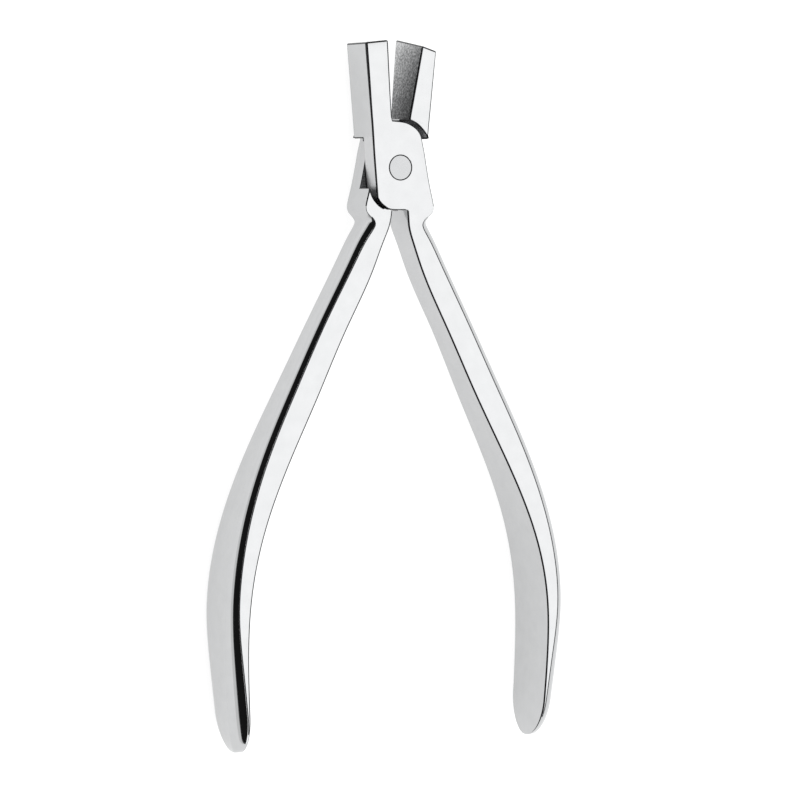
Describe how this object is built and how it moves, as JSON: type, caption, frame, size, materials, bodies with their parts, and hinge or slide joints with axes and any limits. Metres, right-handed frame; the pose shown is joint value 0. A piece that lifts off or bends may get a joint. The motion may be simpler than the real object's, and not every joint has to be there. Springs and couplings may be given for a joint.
{
  "type": "crimping pliers",
  "caption": "Slim lap-joint crimping pliers with wide flat blasted jaws and two bowed, flat-sided steel handles.",
  "frame": {"origin": "on the pivot axis, in the plane of the rear cheek", "axes": "+Y from the pivot towards the jaw tips, +X to the right seen from the front cheek, +Z along the pivot axis out of the front cheek; the pliers lie flat"},
  "size_m": [0.0712, 0.1353, 0.0138],
  "materials": {
    "front_half_steel": "mirror polished stainless steel, grit-blasted on the gripping face, fine ground on the lap face",
    "rear_half_steel": "mirror polished stainless steel, grit-blasted on the gripping face, fine ground on the lap face",
    "rivet_steel": "stainless steel ground flush with the cheeks, satin"
  },
  "bodies": {
    "rear_lever": {"rear_half": "rear_half_steel", "pivot_rivet": "rivet_steel"},
    "front_lever": {"front_half": "front_half_steel"}
  },
  "joints": [
    {"name": "pivot", "type": "hinge", "parent": "rear_lever", "child": "front_lever", "pos_m": [0, 0, 0.0043], "axis": [0, 0, 1], "range_deg": [-17, 26]}
  ]
}
